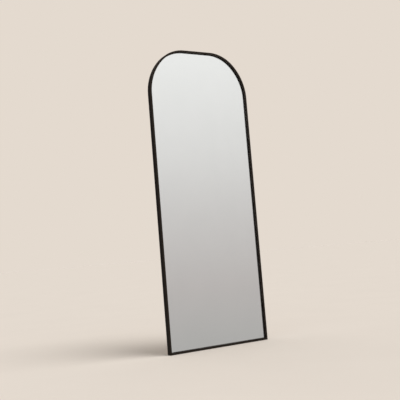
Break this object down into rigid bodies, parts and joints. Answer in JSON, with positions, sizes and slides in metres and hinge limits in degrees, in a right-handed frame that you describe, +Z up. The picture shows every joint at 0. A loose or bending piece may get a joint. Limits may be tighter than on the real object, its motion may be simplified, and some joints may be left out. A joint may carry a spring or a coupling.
{
  "type": "wall mirror",
  "caption": "Tall framed mirror with a flat top between large rounded shoulders, a thin dark metal frame and a board back with rings to hang it by.",
  "frame": {"origin": "middle of the footprint on the floor, halfway between the front face and the back of the bumpers", "axes": "+Z up the mirror, +Y from the glass to the wall, +X to the right as seen from the front"},
  "size_m": [0.6, 0.04, 1.6],
  "materials": {
    "frame_black": "satin black powder coat on aluminium",
    "key_metal": "mill finish",
    "gasket_rubber": "matt black rubber",
    "mirror": "silvered float glass",
    "film": "thin safety film",
    "corrugated_sheet": "corrugated kraft board",
    "board": "bare fibreboard",
    "block_rubber": "hard rubber",
    "zinc_plate": "zinc plate",
    "ring_steel": "bright nickel plate",
    "screw_steel": "zinc plate",
    "bumper_rubber": "grey-black rubber",
    "foot_rubber": "black rubber"
  },
  "bodies": {
    "mirror": {"arch_frame": "frame_black", "bottom_rail": "frame_black", "corner_key_left": "key_metal", "corner_key_right": "key_metal", "glazing_gasket": "gasket_rubber", "mirror_glass": "mirror", "safety_film": "film", "cushion_sheet": "corrugated_sheet", "back_board": "board", "setting_blocks": "block_rubber", "turn_button_screws": "screw_steel", "hanger_screws": "screw_steel", "bumper_screws": "screw_steel", "hanger_strap_left": "zinc_plate", "hanger_strap_right": "zinc_plate", "foot_pad_left": "foot_rubber", "foot_pad_right": "foot_rubber", "bumper_low_left": "bumper_rubber", "bumper_low_right": "bumper_rubber", "bumper_top_left": "bumper_rubber", "bumper_top_right": "bumper_rubber"},
    "d_ring_left": {"d_ring_left": "ring_steel"},
    "d_ring_right": {"d_ring_right": "ring_steel"},
    "turn_button_left_1": {"turn_button_left_1": "zinc_plate"},
    "turn_button_right_1": {"turn_button_right_1": "zinc_plate"},
    "turn_button_left_2": {"turn_button_left_2": "zinc_plate"},
    "turn_button_right_2": {"turn_button_right_2": "zinc_plate"},
    "turn_button_left_3": {"turn_button_left_3": "zinc_plate"},
    "turn_button_right_3": {"turn_button_right_3": "zinc_plate"},
    "turn_button_top": {"turn_button_top": "zinc_plate"},
    "turn_button_bottom": {"turn_button_bottom": "zinc_plate"}
  },
  "joints": [
    {"name": "d_ring_left_swing", "type": "hinge", "parent": "mirror", "child": "d_ring_left", "pos_m": [-0.2, 0.0136, 1.22], "axis": [1, 0, 0], "range_deg": [0, 180]},
    {"name": "d_ring_right_swing", "type": "hinge", "parent": "mirror", "child": "d_ring_right", "pos_m": [0.2, 0.0136, 1.22], "axis": [1, 0, 0], "range_deg": [0, 180]},
    {"name": "button_left_1_turn", "type": "hinge", "parent": "mirror", "child": "turn_button_left_1", "pos_m": [-0.2965, 0.01, 0.22692], "axis": [0, 1, 0], "continuous": true},
    {"name": "button_right_1_turn", "type": "hinge", "parent": "mirror", "child": "turn_button_right_1", "pos_m": [0.2965, 0.01, 0.22692], "axis": [0, 1, 0], "continuous": true},
    {"name": "button_left_2_turn", "type": "hinge", "parent": "mirror", "child": "turn_button_left_2", "pos_m": [-0.2965, 0.01, 0.67777], "axis": [0, 1, 0], "continuous": true},
    {"name": "button_right_2_turn", "type": "hinge", "parent": "mirror", "child": "turn_button_right_2", "pos_m": [0.2965, 0.01, 0.67777], "axis": [0, 1, 0], "continuous": true},
    {"name": "button_left_3_turn", "type": "hinge", "parent": "mirror", "child": "turn_button_left_3", "pos_m": [-0.2965, 0.01, 1.12861], "axis": [0, 1, 0], "continuous": true},
    {"name": "button_right_3_turn", "type": "hinge", "parent": "mirror", "child": "turn_button_right_3", "pos_m": [0.2965, 0.01, 1.12861], "axis": [0, 1, 0], "continuous": true},
    {"name": "button_top_turn", "type": "hinge", "parent": "mirror", "child": "turn_button_top", "pos_m": [0, 0.01, 1.5965], "axis": [0, 1, 0], "continuous": true},
    {"name": "button_bottom_turn", "type": "hinge", "parent": "mirror", "child": "turn_button_bottom", "pos_m": [0, 0.01, 0.005], "axis": [0, 1, 0], "continuous": true}
  ]
}
